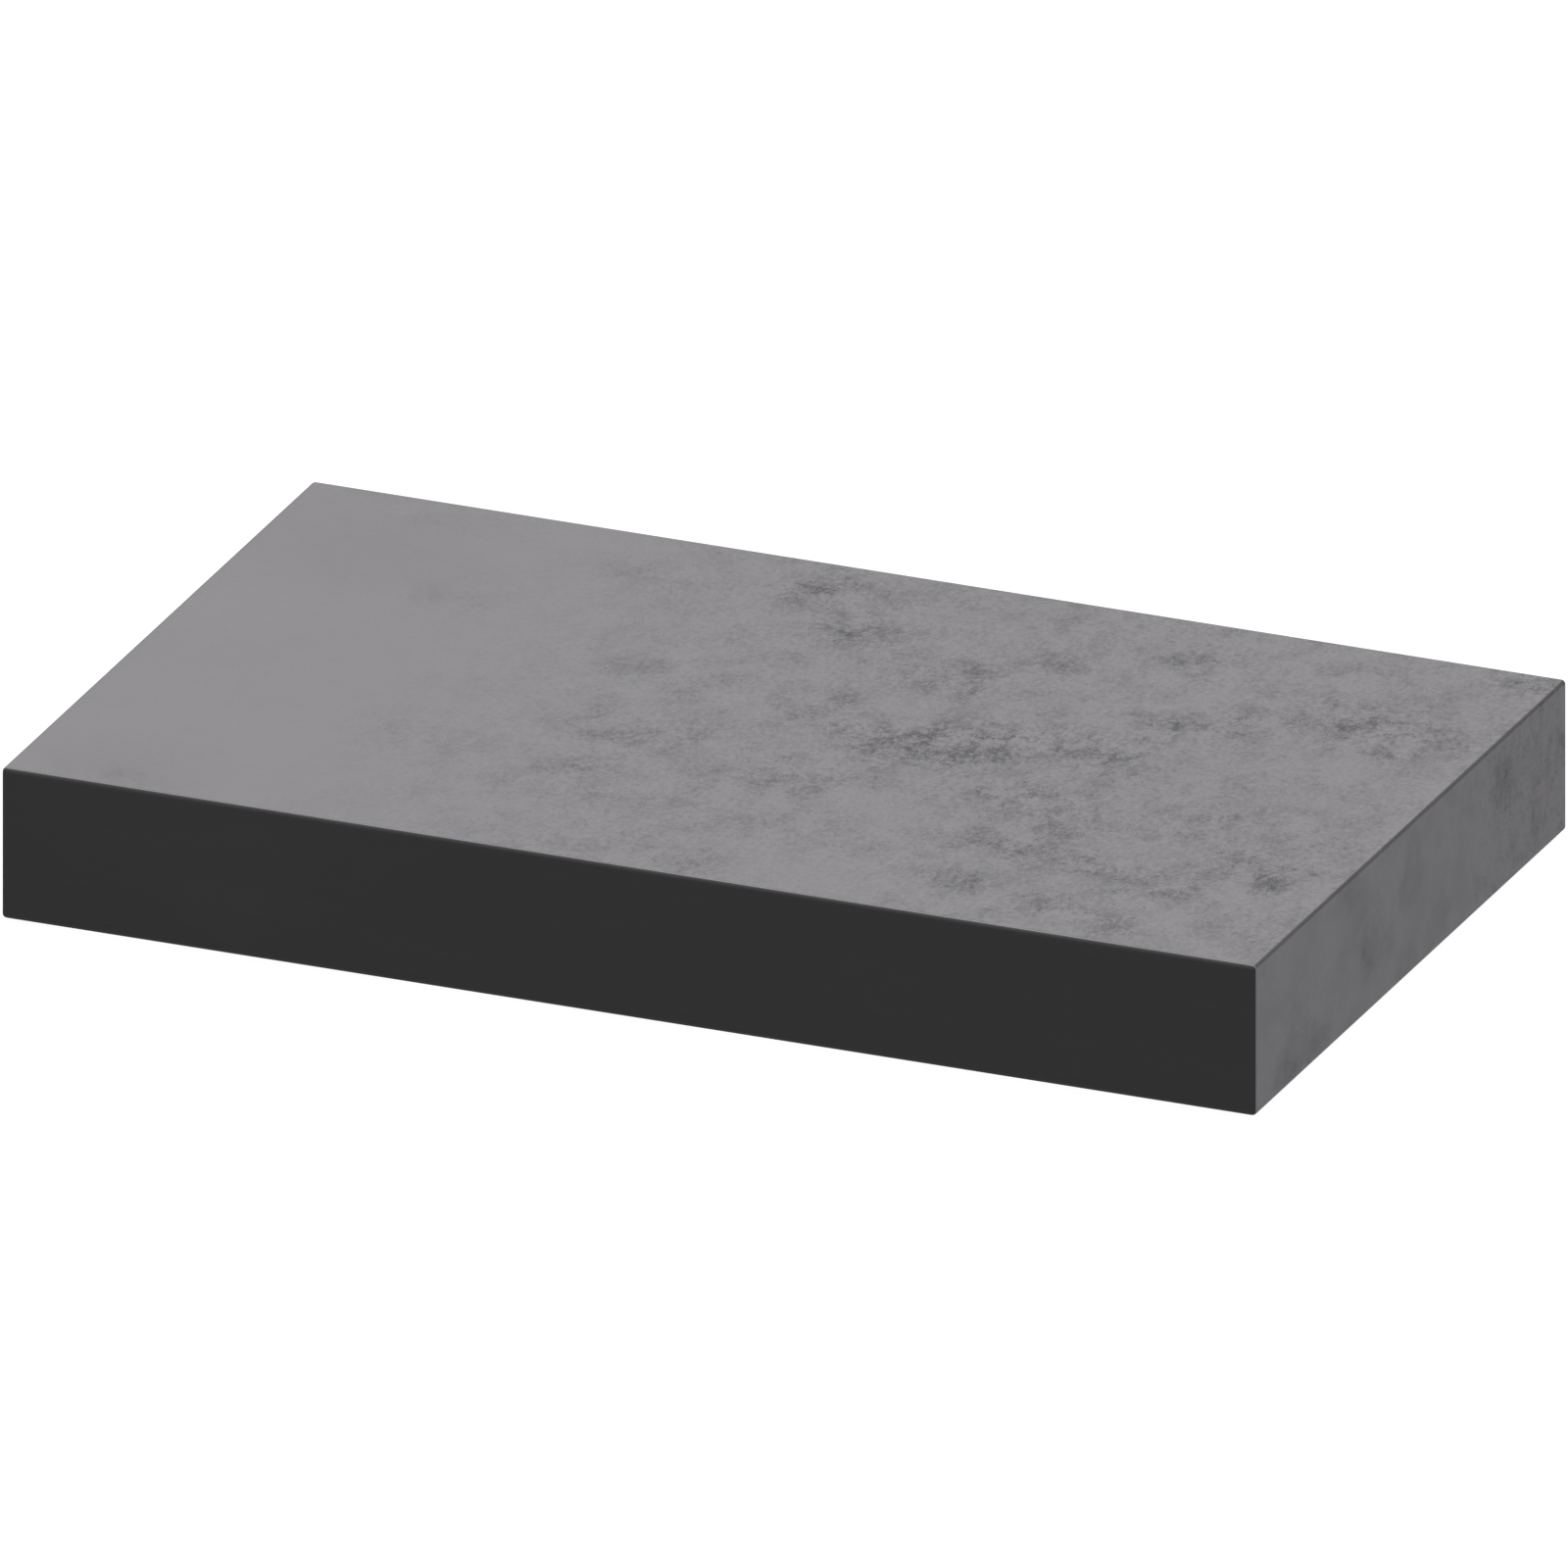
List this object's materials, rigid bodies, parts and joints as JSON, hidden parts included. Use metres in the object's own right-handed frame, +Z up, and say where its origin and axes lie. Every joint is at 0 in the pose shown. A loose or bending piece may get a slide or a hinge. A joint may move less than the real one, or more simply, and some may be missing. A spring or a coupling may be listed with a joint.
{
  "type": "stone working slab",
  "caption": "Flat rectangular honed stone slab with a dark strip along its front and low round rubber feet, a firm surface for stamping and punching leather.",
  "frame": {"origin": "on the bench, under the middle of the slab", "axes": "+X along the slab's length to its right end, -Y towards the side with the dark strip, +Z up"},
  "size_m": [0.25, 0.15, 0.031],
  "materials": {
    "honed_stone": "honed, mid-grey with soft darker clouding",
    "charcoal_strip": "even matt charcoal",
    "foot_rubber": "matt black",
    "foot_tape": "translucent adhesive tape"
  },
  "bodies": {
    "root": {"granite_slab": "honed_stone", "front_strip": "charcoal_strip", "foot_front_left": "foot_rubber", "foot_front_right": "foot_rubber", "foot_rear_left": "foot_rubber", "foot_rear_right": "foot_rubber", "foot_tape_front_left": "foot_tape", "foot_tape_front_right": "foot_tape", "foot_tape_rear_left": "foot_tape", "foot_tape_rear_right": "foot_tape"}
  },
  "joints": []
}
